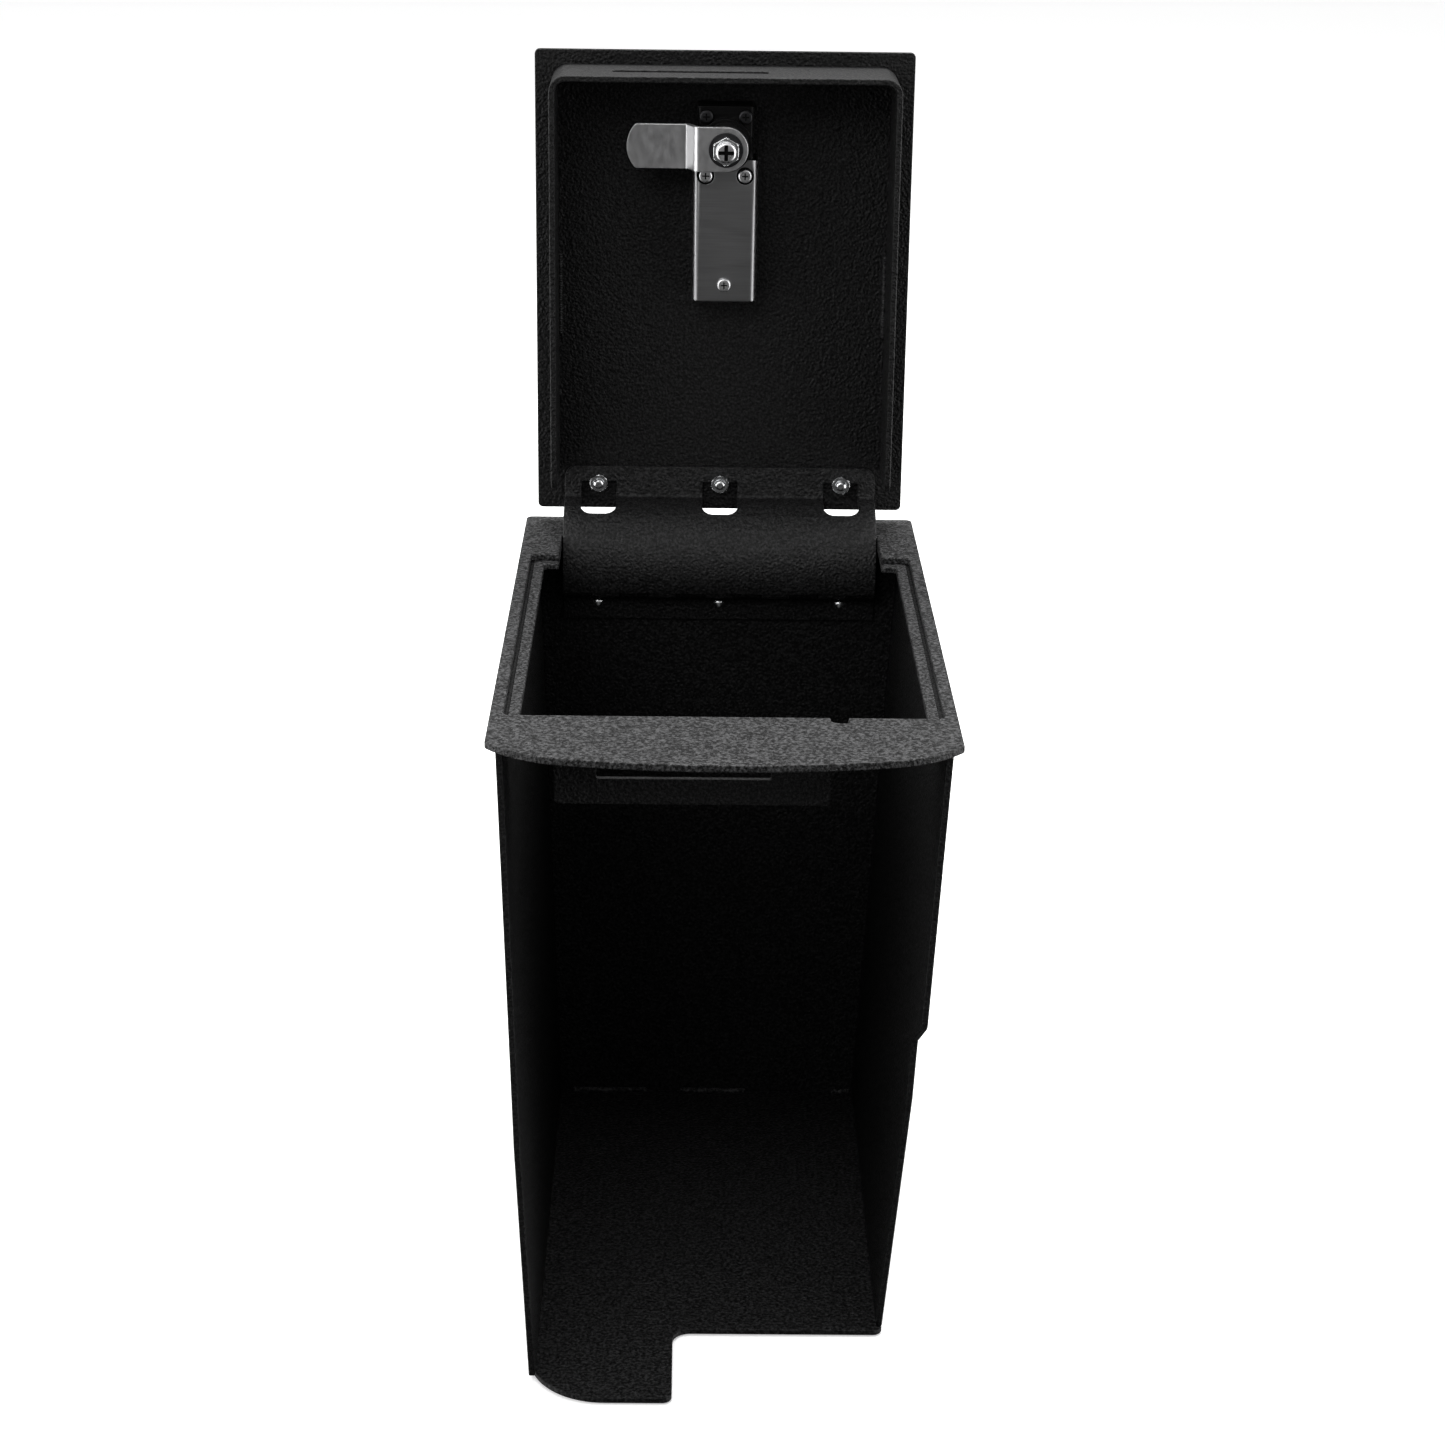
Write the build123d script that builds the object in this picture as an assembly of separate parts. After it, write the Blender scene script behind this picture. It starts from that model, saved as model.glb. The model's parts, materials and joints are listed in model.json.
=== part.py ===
from build123d import *
from math import asin, cos, degrees, hypot, pi, radians, sin, sqrt
import os

# A console safe: a tapered open-fronted steel box that drops into a centre console and hangs
# by its bowed top plate. The lid seats in the top plate's recess and swings up on a curved
# gooseneck that comes round the rear strip of the plate, so no hinge shows when it is shut.
# A combination cam lock on the lid throws its cam through a slot in the lid's front flange
# and on through a slot in the strike plate.
#
# Frame: millimetres, +Z up, the open front towards -Y. The origin is on the underside of the
# floor plate, in the middle of the width. The lid is drawn open and upright.

os.makedirs("parts", exist_ok=True)

# ---------------------------------------------------------------- gauges and clearances
top_t = 3.0              # top plate
sheet_t = 2.66           # 12-gauge walls, floor, ledge, lid, flange and strike
neck_t = 2.0             # gooseneck and hinge leaf
running = 0.05           # radial clearance of a turning shaft in its bore
move_gap = 0.4           # between pieces that move past each other

# ---------------------------------------------------------------- box
body_height = 298.0      # floor underside to top face
top_width = 185.0
wall_half_top = 88.2     # outside, from the middle, under the top plate
left_wall_foot = 79.1    # and at the floor: the right wall leans in more
right_wall_foot = 73.1
recess_back_y = 100.0
recess_width = 174.2
recess_length = 216.7
recess_corner_r = 3.0
rear_strip = 63.5        # top plate behind the recess
front_lip = 54.2         # recess front edge to the tip of the bow
bow_r = 340.0
bow_end_r = 50.0
bow_end_inset = 39.0     # centre of the end arc, in from the side
plate_corner_r = 3.0
back_wall_set = 39.6     # recess rear edge to the back wall's inner face
ledge_side = 6.2         # ledge seen inside the recess at the sides
ledge_end = 5.5          # and at the front and rear
ledge_front_depth = 24.0
ledge_corner_r = 2.0
neck_side_gap = 0.5      # gooseneck to the plate beside it

wall_front_y = -150.0
left_knee_z = 123.0      # below its knee the left wall leans back to its foot
left_foot_y = -126.0
right_step_top_z = 178.5
right_step_low_z = 158.5
right_step_y = -120.0
right_knee_z = 132.0
right_foot_y = -84.0
wall_corner_r = 4.0

tongue_front_y = -142.3
tongue_right_x = -18.4
floor_front_y = -87.6
tongue_corner_r = 32.0
floor_corner_r = 4.0
floor_inner_r = 8.0

notch_left_x = 42.0      # cable notch in the front edge of the recess
notch_width = 7.1
notch_depth = 6.0

floor_weld_leg = 1.8
floor_weld_spans = [(-70.7, -33.1), (-16.4, 16.7), (60.0, 70.0)]

# ---------------------------------------------------------------- hinge and gooseneck
pin_back = 33.0          # behind the recess rear edge
pin_drop = 27.2          # below the top face
pin_r = 1.6
knuckle_r = 3.6
knuckle_count = 11
hinge_width = 147.6
body_leaf_height = 12.0
rivet_drop = 7.9         # pin to rivets
rivet_head_r = 2.6
rivet_head_h = 1.3
rivet_shank_r = 1.6
fastener_pitch = 57.6
neck_back = 18.4         # centre of the neck's curve behind the pin
neck_rise = 12.9         # and above it
neck_bend_r = 1.5
neck_leaf_height = 13.5
neck_leaf_corner_r = 5.5
neck_slot_width = 16.5
neck_slot_corner_r = 5.0
neck_slot_back = 5.7     # slot end, behind the pin

# ---------------------------------------------------------------- lid
lid_gap = 0.4            # lid edge to recess edge, all round
lid_lift = 0.3           # shut lid above the ledge
lid_corner_r = 2.4
flange_depth = 40.0
flange_inset_side = 7.95
flange_inset_front = 6.5
flange_corner_r = 7.5
flange_rear = 19.0       # lid rear edge to the side flanges' rear ends
flange_end_r = 6.0
lid_weld_leg = 1.8
lid_weld_from = 84.0
lid_weld_length = 39.0
stud_rise = 13.6         # lid rear edge to the stud line
stud_r = 2.5
stud_length = 8.2
nut_af = 8.0
nut_h = 4.0

# ---------------------------------------------------------------- lock
lock_x = 0.5
lock_pivot_front = 39.7  # lid front edge to the spindle
housing_front = 22.4     # lid front edge to the housing's end
housing_length = 88.5
housing_width = 28.1
housing_neck_width = 25.4
housing_depth = 17.0
cover_t = 1.0
cover_front = 46.5       # lid front edge to the cover's open end
cover_edge_r = 3.6
cover_hole_r = 4.0       # round the clamp screws' heads
boss_r = 12.0
boss_depth = 20.0        # lid inner face to the boss's step
boss_tip_r = 10.2
spindle_r = 5.0
spindle_square = 7.0
cam_depth = 21.9         # lid inner face to the middle of the cam's tongue
cam_joggle = 8.4
cam_joggle_angle = 65.0
cam_t = 2.5
cam_width = 20.0
cam_reach = 44.8
cam_shoulder = 11.8      # spindle to the start of the joggle
cam_tip_r = 14.5
cam_corner_r = 2.0
cam_slot_height = 6.4
cam_slot_corner_r = 0.8
cam_slot_left = -50.6
cam_slot_right = 19.2
strike_left_x = -67.5
strike_right_x = 43.0
strike_drop = 38.6       # top face to the strike's lower edge
strike_corner_r = 2.0
washer_r = 7.8
washer_t = 1.2
cam_nut_af = 11.4
cam_nut_h = 4.6
cam_screw_r = 4.75
cam_screw_h = 3.0
cam_screw_shank_r = 2.0
cam_screw_length = 14.0
screw_head_r = 3.1
screw_head_h = 1.8
screw_r = 1.75
black_screw_x = 8.9
black_screw_front = 27.1
black_screw_length = 9.0
clamp_screw_x = 9.0
clamp_screw_front = 53.7
cover_screw_front = 103.7
cross_w = 0.9            # cross recess
cross_l = 3.8
cross_d = 1.0
escutcheon_width = 34.0
escutcheon_h = 14.0
escutcheon_end = 4.0     # reach past the housing at each end
escutcheon_edge_r = 2.5
wheel_r = 7.0
wheel_width = 6.2
wheel_pitch = 9.0
wheel_count = 4
wheel_first_front = 66.0
wheel_proud = 1.5
wheel_groove_r = 0.5
axle_r = 1.5
knob_r = 12.6
knob_base_h = 4.0
knob_grip_h = 11.0
knob_grip_w = 10.6
knob_socket = 4.5
key_plug_r = 4.0
key_plug_l = 8.0
keyway_w = 1.4
keyway_l = 5.6
keyway_d = 5.0

# ---------------------------------------------------------------- values that follow
top_z = body_height
plate_under_z = top_z - top_t
ledge_under_z = plate_under_z - sheet_t
recess_front_y = recess_back_y - recess_length
plate_rear_y = recess_back_y + rear_strip
bow_y = recess_front_y - front_lip
wall_inner_y = recess_back_y + back_wall_set
wall_outer_y = wall_inner_y + sheet_t
opening_half = recess_width / 2 - ledge_side
opening_front_y = recess_front_y + ledge_end
pin_y = recess_back_y + pin_back
pin_z = top_z - pin_drop
hinge_half = hinge_width / 2
gateway_half = hinge_half + neck_side_gap
fastener_xs = [-fastener_pitch, 0, fastener_pitch]

# The neck's middle line runs down through the front of the knuckles. The rear strip ends
# just behind the neck's inner face, where the open lid comes to rest.
neck_r = hypot(neck_back + knuckle_r, neck_rise)
neck_inner_r = neck_r - neck_t / 2
neck_y = pin_y + neck_back
neck_z = pin_z + neck_rise
strip_front_y = neck_y - sqrt((neck_inner_r - move_gap) ** 2 - (top_z - neck_z) ** 2)

# A quarter turn about the pin takes the shut lid's rear lower edge to the open lid's foot.
lid_width = recess_width - 2 * lid_gap
lid_length = recess_length - 2 * lid_gap
lid_face_y = pin_y + (plate_under_z + lid_lift - pin_z)
lid_foot_z = pin_z + (pin_y - (recess_back_y - lid_gap))
lid_top_z = lid_foot_z + lid_length
lid_outer_y = lid_face_y + sheet_t
flange_half = lid_width / 2 - flange_inset_side
flange_top_z = lid_top_z - flange_inset_front
stud_z = lid_foot_z + stud_rise
spindle_z = lid_top_z - lock_pivot_front
cam_slot_z = plate_under_z + lid_lift - cam_depth
tongue_y = lid_face_y - cam_depth
hub_y = tongue_y - cam_joggle
hub_front_y = hub_y - cam_t / 2
hub_rear_y = hub_y + cam_t / 2
housing_top_z = lid_top_z - housing_front
housing_low_z = housing_top_z - housing_length
housing_face_y = lid_face_y - housing_depth
cover_face_y = housing_face_y - cover_t
escutcheon_face_y = lid_outer_y + escutcheon_h
wheel_y = escutcheon_face_y + wheel_proud - wheel_r
wheel_zs = [lid_top_z - wheel_first_front - i * wheel_pitch for i in range(wheel_count)]
knob_y = escutcheon_face_y + move_gap
knob_face_y = knob_y + knob_base_h + knob_grip_h


# ---------------------------------------------------------------- helpers
def block(x0, x1, y0, y1, z0, z1):
    """A box between two corners."""
    middle = Pos((x0 + x1) / 2, (y0 + y1) / 2, (z0 + z1) / 2)
    return middle * Box(x1 - x0, y1 - y0, z1 - z0)


def rod_x(x0, x1, y, z, r):
    """A cylinder along X."""
    return Pos((x0 + x1) / 2, y, z) * Rot(0, 90, 0) * Cylinder(r, x1 - x0)


def rod_y(y0, y1, x, z, r):
    """A cylinder along Y."""
    return Pos(x, (y0 + y1) / 2, z) * Rot(90, 0, 0) * Cylinder(r, y1 - y0)


def rod_z(z0, z1, x, y, r):
    """A cylinder along Z."""
    return Pos(x, y, (z0 + z1) / 2) * Cylinder(r, z1 - z0)


def solid_xy(sketch, z0, z1):
    """A flat sketch in X and Y made solid between two heights."""
    return Pos(0, 0, z0) * extrude(sketch, amount=z1 - z0, dir=(0, 0, 1))


def solid_xz(sketch, y0, y1):
    """A sketch in X and Z made solid between two Y values."""
    return Pos(0, y0, 0) * extrude(Plane.XZ * sketch, amount=y1 - y0, dir=(0, 1, 0))


def solid_yz(sketch, x0, x1):
    """A sketch in Y and Z made solid between two X values."""
    return Pos(x0, 0, 0) * extrude(Plane.YZ * sketch, amount=x1 - x0, dir=(1, 0, 0))


def bent_strip(start, heading, moves, thickness):
    """The edge view of a bent sheet: lines ("line", length) and arcs ("arc", radius, turn)."""
    edges = []
    x, y = start
    angle = radians(heading)
    ends = []
    for kind, size, *turning in moves:
        nx, ny = -sin(angle), cos(angle)
        for side in (thickness / 2, -thickness / 2):
            if kind == "line":
                points = [(x + side * nx + s * cos(angle), y + side * ny + s * sin(angle))
                          for s in (0, size)]
                edges.append(Line(*points))
            else:
                turn = radians(turning[0])
                sense = 1 if turn > 0 else -1
                cx, cy = x + sense * size * nx, y + sense * size * ny
                r = size - sense * side
                points = [(cx + sense * r * sin(angle + s * turn),
                           cy - sense * r * cos(angle + s * turn)) for s in (0, 0.5, 1)]
                edges.append(ThreePointArc(*points))
            ends.append((points[0], points[-1]))
        if kind == "line":
            x, y = x + size * cos(angle), y + size * sin(angle)
        else:
            angle += turn
            x, y = cx + sense * size * sin(angle), cy - sense * size * cos(angle)
    edges.append(Line(ends[0][0], ends[1][0]))
    edges.append(Line(ends[-2][1], ends[-1][1]))
    return make_face(edges)


def cross_recess(x, z, top_y):
    """The cutter for a cross recess in a screw head that faces -Y."""
    half_l, half_w = cross_l / 2, cross_w / 2
    flat = block(x - half_l, x + half_l, top_y, top_y + cross_d, z - half_w, z + half_w)
    tall = block(x - half_w, x + half_w, top_y, top_y + cross_d, z - half_l, z + half_l)
    return flat + tall


def pan_screw(x, z, seat_y, tip_y, head_r=screw_head_r, head_h=screw_head_h, shank_r=screw_r):
    """A cross-recessed pan-head screw, its head towards -Y."""
    top_y = seat_y - head_h
    head = rod_y(top_y, seat_y, x, z, head_r)
    head = fillet(head.edges().group_by(Axis.Y)[0], head_h * 0.6)
    return head - cross_recess(x, z, top_y) + rod_y(seat_y, tip_y, x, z, shank_r)


def save(node, shape):
    """Write one node; separate pieces stay separate solids."""
    solids = shape.solids()
    export_step(solids[0] if len(solids) == 1 else Compound(solids), f"parts/{node}.step")
    volume = sum(solid.volume for solid in solids) / 1000
    print(f"{node}: {len(solids)} solid(s), {volume:.2f} cm3")


# ---------------------------------------------------------------- top plate
def plate_outline():
    """The top plate from above: straight sides and a bowed front with tighter ends."""
    half = top_width / 2
    end_x = half - bow_end_inset
    turn = asin(end_x / (bow_r - bow_end_r))
    close = asin(bow_end_inset / bow_end_r)
    end_y = bow_y + bow_r - (bow_r - bow_end_r) * cos(turn)

    def end_point(angle):
        return end_x + bow_end_r * sin(angle), end_y - bow_end_r * cos(angle)

    def mirrored(point):
        return -point[0], point[1]

    join = end_point(turn)
    mid = end_point((turn + close) / 2)
    corner = end_point(close)
    front = ThreePointArc(mirrored(join), (0, bow_y), join)
    right = ThreePointArc(join, mid, corner)
    left = ThreePointArc(mirrored(corner), mirrored(mid), mirrored(join))
    sides = Polyline(corner, (half, plate_rear_y), (-half, plate_rear_y), mirrored(corner))
    face = make_face([front, right, left, *sides.edges()])
    corners = [v for v in face.vertices() if abs(abs(v.X) - half) < 1e-3]
    return fillet(corners, plate_corner_r)


def notch_cutter(z0, z1):
    """The cable notch, rounded on its left."""
    x1 = notch_left_x + notch_width
    shape = block(notch_left_x, x1, recess_front_y - notch_depth, opening_front_y + 1, z0, z1)
    edge = shape.edges().filter_by(Axis.Z).group_by(Axis.Y)[0].sort_by(Axis.X)[0]
    return fillet(edge, notch_width / 2)


def neck_gateway(z0, z1):
    """The way through the rear of the plate and the ledge for the gooseneck."""
    y0 = recess_back_y - 2 * ledge_end
    return block(-gateway_half, gateway_half, y0, strip_front_y, z0, z1)


def make_top_plate():
    """The top plate with the lid recess and the gooseneck's gateway."""
    middle_y = (recess_front_y + recess_back_y) / 2
    recess = Pos(0, middle_y) * RectangleRounded(recess_width, recess_length, recess_corner_r)
    plate = solid_xy(plate_outline() - recess, plate_under_z, top_z)
    gateway = neck_gateway(plate_under_z - 1, top_z + 1)
    return plate - notch_cutter(plate_under_z - 1, top_z + 1) - gateway


# ---------------------------------------------------------------- box
def wall_x(side, z):
    """The outside face of a side wall (-1 left, 1 right) at a height."""
    foot = left_wall_foot if side < 0 else right_wall_foot
    return side * (foot + (wall_half_top - foot) * z / plate_under_z)


def wall_section(side, inset_a, inset_b):
    """Four corners of the leaning strip between two depths in from a wall's outside."""
    points = []
    for z, insets in ((sheet_t, (inset_a, inset_b)), (plate_under_z, (inset_b, inset_a))):
        points += [(wall_x(side, z) - side * inset, z) for inset in insets]
    return points


def between_walls(y0, y1):
    """The space between the side walls."""
    left, right = [wall_section(side, sheet_t, sheet_t) for side in (-1, 1)]
    shape = Polygon(left[0], right[0], right[2], left[2], align=None)
    return solid_xz(shape, y0, y1)


def make_side_wall(side, front_points):
    """A leaning side wall, its front edge given from the top down."""
    slab = solid_xz(Polygon(*wall_section(side, 0, sheet_t), align=None), bow_y, wall_outer_y)
    profile = Polygon((wall_outer_y, sheet_t), (wall_outer_y, plate_under_z), *front_points,
                      align=None)
    knees = [v for v in profile.vertices()
             if v.X < wall_outer_y - 1 and sheet_t + 1 < v.Y < plate_under_z - 1]
    return slab & solid_yz(fillet(knees, wall_corner_r), -top_width, top_width)


def make_left_wall():
    points = [(wall_front_y, plate_under_z), (wall_front_y, left_knee_z),
              (left_foot_y, sheet_t)]
    return make_side_wall(-1, points)


def make_right_wall():
    points = [(wall_front_y, plate_under_z), (wall_front_y, right_step_top_z),
              (right_step_y, right_step_low_z), (right_step_y, right_knee_z),
              (right_foot_y, sheet_t)]
    return make_side_wall(1, points)


def make_back_wall():
    """The back wall between the side walls, drilled for the hinge rivets."""
    wall = between_walls(wall_inner_y, wall_outer_y)
    for x in fastener_xs:
        wall -= rod_y(wall_inner_y - 1, wall_outer_y + 1, x, pin_z - rivet_drop, rivet_shank_r)
    return wall


def make_floor_plate():
    """The floor: a tongue at the left, its right front cut back."""
    left, right = wall_x(-1, 0), wall_x(1, 0)
    shape = Polygon((left, wall_outer_y), (left, tongue_front_y),
                    (tongue_right_x, tongue_front_y), (tongue_right_x, floor_front_y),
                    (right, floor_front_y), (right, wall_outer_y), align=None)
    rounds = [(left, tongue_front_y, tongue_corner_r),
              (tongue_right_x, tongue_front_y, floor_corner_r),
              (tongue_right_x, floor_front_y, floor_inner_r),
              (right, floor_front_y, floor_corner_r)]
    for x, y, r in rounds:
        corner = [v for v in shape.vertices() if hypot(v.X - x, v.Y - y) < 1e-3]
        shape = fillet(corner, r)
    return solid_xy(shape, 0, sheet_t)


def make_ledge_plate():
    """The frame under the top plate that the shut lid hangs over."""
    front_y = recess_front_y - ledge_front_depth
    plate = between_walls(front_y, wall_inner_y)
    plate &= block(-top_width, top_width, front_y, wall_inner_y, ledge_under_z, plate_under_z)
    opening = block(-opening_half, opening_half, opening_front_y, recess_back_y - ledge_end,
                    ledge_under_z - 1, plate_under_z + 1)
    opening = fillet(opening.edges().filter_by(Axis.Z), ledge_corner_r)
    gateway = neck_gateway(ledge_under_z - 1, plate_under_z + 1)
    return plate - opening - gateway - notch_cutter(ledge_under_z - 1, plate_under_z + 1)


def cam_slot(y0, y1):
    """The cutter for the strike's slot."""
    length = cam_slot_right - cam_slot_left
    place = Pos((cam_slot_left + cam_slot_right) / 2, cam_slot_z)
    shape = place * RectangleRounded(length, cam_slot_height, cam_slot_corner_r)
    return solid_xz(shape, y0, y1)


def make_strike_plate():
    """The plate hanging under the front of the ledge, with the slot the cam enters."""
    y0 = opening_front_y - sheet_t
    plate = block(strike_left_x, strike_right_x, y0, opening_front_y, top_z - strike_drop,
                  ledge_under_z)
    plate = fillet(plate.edges().filter_by(Axis.Y).group_by(Axis.Z)[0], strike_corner_r)
    return plate - cam_slot(y0 - 1, opening_front_y + 1)


def make_floor_welds():
    """Stitch welds along the joint of the floor and the back wall."""
    beads = []
    for x0, x1 in floor_weld_spans:
        round_bead = rod_x(x0, x1, wall_inner_y, sheet_t, floor_weld_leg)
        corner = block(x0, x1, wall_inner_y - 2 * floor_weld_leg, wall_inner_y,
                       sheet_t, sheet_t + 2 * floor_weld_leg)
        beads.append(round_bead & corner)
    return Compound(beads)


# ---------------------------------------------------------------- hinge
def knuckle_spans(first):
    """Every second knuckle along the pin, from the one numbered first."""
    pitch = hinge_width / knuckle_count
    starts = [-hinge_half + i * pitch for i in range(first, knuckle_count, 2)]
    return [(x + move_gap / 2, x + pitch - move_gap / 2) for x in starts]


def make_hinge_body_leaf():
    """The fixed leaf, riveted to the back wall, with its knuckles."""
    top_leaf_z = pin_z
    face_y = wall_inner_y - neck_t
    leaf = block(-hinge_half, hinge_half, face_y, wall_inner_y,
                 top_leaf_z - knuckle_r - body_leaf_height, top_leaf_z - knuckle_r)
    for x0, x1 in knuckle_spans(0):
        leaf += rod_x(x0, x1, pin_y, pin_z, knuckle_r)
        leaf += block(x0, x1, pin_y, wall_inner_y, pin_z - knuckle_r, pin_z - knuckle_r + neck_t)
        leaf += block(x0, x1, face_y, wall_inner_y, pin_z - knuckle_r - 1,
                      pin_z - knuckle_r + neck_t)
    for x in fastener_xs:
        leaf -= rod_y(face_y - 1, wall_inner_y + 1, x, pin_z - rivet_drop, rivet_shank_r)
    return leaf - rod_x(-hinge_half - 1, hinge_half + 1, pin_y, pin_z, pin_r)


def make_hinge_rivets():
    """Domed rivets through the fixed leaf and the back wall."""
    seat_y = wall_inner_y - neck_t
    dome_r = (rivet_head_r ** 2 + rivet_head_h ** 2) / (2 * rivet_head_h)
    rivets = []
    for x in fastener_xs:
        z = pin_z - rivet_drop
        ball = Pos(x, seat_y - rivet_head_h + dome_r, z) * Sphere(dome_r)
        head = ball & rod_y(seat_y - 2 * rivet_head_h, seat_y, x, z, 2 * rivet_head_r)
        rivets.append(head + rod_y(seat_y, wall_outer_y, x, z, rivet_shank_r))
    return Compound(rivets)


def make_hinge_pin():
    return rod_x(-hinge_half, hinge_half, pin_y, pin_z, pin_r)


def make_gooseneck():
    """The neck: a leaf on the lid, a small bend, a long curve, and the moving knuckles."""
    leaf_mid_y = lid_face_y - neck_t / 2
    bend_mid_r = neck_bend_r + neck_t / 2
    crown_z = neck_z + neck_r
    bend_z = crown_z + bend_mid_r
    flat = leaf_mid_y - bend_mid_r - neck_y
    end_turn = 90 + degrees(asin(neck_rise / neck_r))
    moves = [("line", neck_leaf_height), ("arc", bend_mid_r, -90), ("line", flat),
             ("arc", neck_r, end_turn)]
    profile = bent_strip((leaf_mid_y, bend_z + neck_leaf_height), 270, moves, neck_t)
    neck = solid_yz(profile, -hinge_half, hinge_half)
    top_corners = neck.edges().filter_by(Axis.Y).group_by(Axis.Z)[-1]
    neck = fillet(top_corners, neck_leaf_corner_r)
    for x in fastener_xs:
        slot = block(x - neck_slot_width / 2, x + neck_slot_width / 2, pin_y + neck_slot_back,
                     lid_face_y + 1, pin_z + knuckle_r, stud_z)
        slot = fillet(slot.edges().filter_by(Axis.Z).group_by(Axis.Y)[0], neck_slot_corner_r)
        neck -= slot
        neck -= rod_y(lid_face_y - 2 * neck_t, lid_face_y + 1, x, stud_z, stud_r)
    for x0, x1 in knuckle_spans(0):
        neck -= rod_x(x0 - move_gap, x1 + move_gap, pin_y, pin_z, knuckle_r + move_gap)
    for x0, x1 in knuckle_spans(1):
        neck += rod_x(x0, x1, pin_y, pin_z, knuckle_r)
    return neck - rod_x(-hinge_half - 1, hinge_half + 1, pin_y, pin_z, pin_r + running)


# ---------------------------------------------------------------- lid
def make_lid_plate():
    """The lid, drilled for the lock's spindle and clamp screws."""
    middle = Pos(0, (lid_foot_z + lid_top_z) / 2)
    shape = middle * RectangleRounded(lid_width, lid_length, lid_corner_r)
    plate = solid_xz(shape, lid_face_y, lid_outer_y)
    plate -= rod_y(lid_face_y - 1, lid_outer_y + 1, lock_x, spindle_z, spindle_r + running)
    for x, z in clamp_points():
        plate -= rod_y(lid_face_y - 1, lid_outer_y + 1, x, z, screw_r)
    return plate


def make_lid_flange():
    """The three-sided flange welded inside the lid, slotted at the front for the cam."""
    rear_z = lid_foot_z + flange_rear
    tall = flange_top_z - rear_z
    outer = Pos(0, rear_z) * Rectangle(2 * flange_half, tall, align=(Align.CENTER, Align.MIN))
    outer = fillet(outer.vertices().group_by(Axis.Y)[-1], flange_corner_r)
    inner = Pos(0, rear_z) * Rectangle(2 * (flange_half - sheet_t), tall - sheet_t,
                                       align=(Align.CENTER, Align.MIN))
    inner = fillet(inner.vertices().group_by(Axis.Y)[-1], flange_corner_r - sheet_t)
    band = solid_xz(outer - inner, lid_face_y - flange_depth, lid_face_y)
    free_corners = band.edges().filter_by(Axis.X).group_by(Axis.Z)[0].group_by(Axis.Y)[0]
    band = fillet(free_corners, flange_end_r)
    length = cam_slot_right - cam_slot_left
    slot = Pos((cam_slot_left + cam_slot_right) / 2, tongue_y)
    slot = slot * RectangleRounded(length, cam_slot_height, cam_slot_corner_r)
    return band - solid_xy(slot, flange_top_z - 2 * sheet_t, flange_top_z + sheet_t)


def make_lid_welds():
    """A stitch weld inside each side flange, where it meets the lid."""
    z0 = lid_foot_z + lid_weld_from
    inside = flange_half - sheet_t
    beads = []
    for side in (-1, 1):
        bead = rod_z(z0, z0 + lid_weld_length, side * inside, lid_face_y, lid_weld_leg)
        x0, x1 = sorted((side * (inside - 2 * lid_weld_leg), side * inside))
        corner = block(x0, x1, lid_face_y - 2 * lid_weld_leg, lid_face_y, z0,
                       z0 + lid_weld_length)
        beads.append(bead & corner)
    return Compound(beads)


def make_lid_studs():
    """Weld studs on the lid's inner face, with domed tips."""
    studs = []
    for x in fastener_xs:
        stud = rod_y(lid_face_y - stud_length, lid_face_y, x, stud_z, stud_r)
        studs.append(fillet(stud.edges().group_by(Axis.Y)[0], stud_r * 0.6))
    return Compound(studs)


def make_lid_nuts():
    """The nuts that clamp the gooseneck's leaf to the studs."""
    y1 = lid_face_y - neck_t
    nuts = []
    for x in fastener_xs:
        hexagon = Pos(x, stud_z) * RegularPolygon(nut_af / 2, 6, False, rotation=30)
        nut = solid_xz(hexagon, y1 - nut_h, y1)
        cone = rod_y(y1 - nut_h, y1, x, stud_z, nut_af / 2 * 1.12)
        cone = chamfer(cone.edges().group_by(Axis.Y)[0], 0.5)
        nuts.append((nut & cone) - rod_y(y1 - nut_h - 1, y1 + 1, x, stud_z, stud_r))
    return Compound(nuts)


# ---------------------------------------------------------------- lock, inner side
def clamp_points():
    """The two screws that pull the housing and the escutcheon together."""
    z = lid_top_z - clamp_screw_front
    return [(lock_x - clamp_screw_x, z), (lock_x + clamp_screw_x, z)]


def black_points():
    """The two screws at the housing's front end."""
    z = lid_top_z - black_screw_front
    return [(lock_x - black_screw_x, z), (lock_x + black_screw_x, z)]


def cover_point():
    return lock_x, lid_top_z - cover_screw_front


def make_lock_housing():
    """The plastic housing on the lid's inner face, with the spindle's boss."""
    half, neck_half = housing_width / 2, housing_neck_width / 2
    shoulder_z = lid_top_z - cover_front
    lower = block(lock_x - half, lock_x + half, housing_face_y, lid_face_y, housing_low_z,
                  shoulder_z)
    lower = fillet(lower.edges().filter_by(Axis.Z).group_by(Axis.Y)[0], cover_edge_r - cover_t)
    upper = block(lock_x - neck_half, lock_x + neck_half, housing_face_y, lid_face_y,
                  housing_low_z + 1, housing_top_z)
    upper = fillet(upper.edges().filter_by(Axis.Z).group_by(Axis.Y)[0], 1.5)
    boss = rod_y(lid_face_y - boss_depth, lid_face_y, lock_x, spindle_z, boss_r)
    boss += rod_y(hub_rear_y + move_gap, lid_face_y, lock_x, spindle_z, boss_tip_r)
    housing = lower + upper + boss
    housing -= rod_y(hub_front_y, lid_face_y + 1, lock_x, spindle_z, spindle_r + running)
    for x, z in clamp_points():
        housing -= rod_y(cover_face_y, lid_face_y + 1, x, z, screw_r)
    for x, z in black_points():
        housing -= rod_y(cover_face_y, housing_face_y + black_screw_length, x, z, screw_r)
    x, z = cover_point()
    return housing - rod_y(cover_face_y, housing_face_y + black_screw_length, x, z, screw_r)


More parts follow.
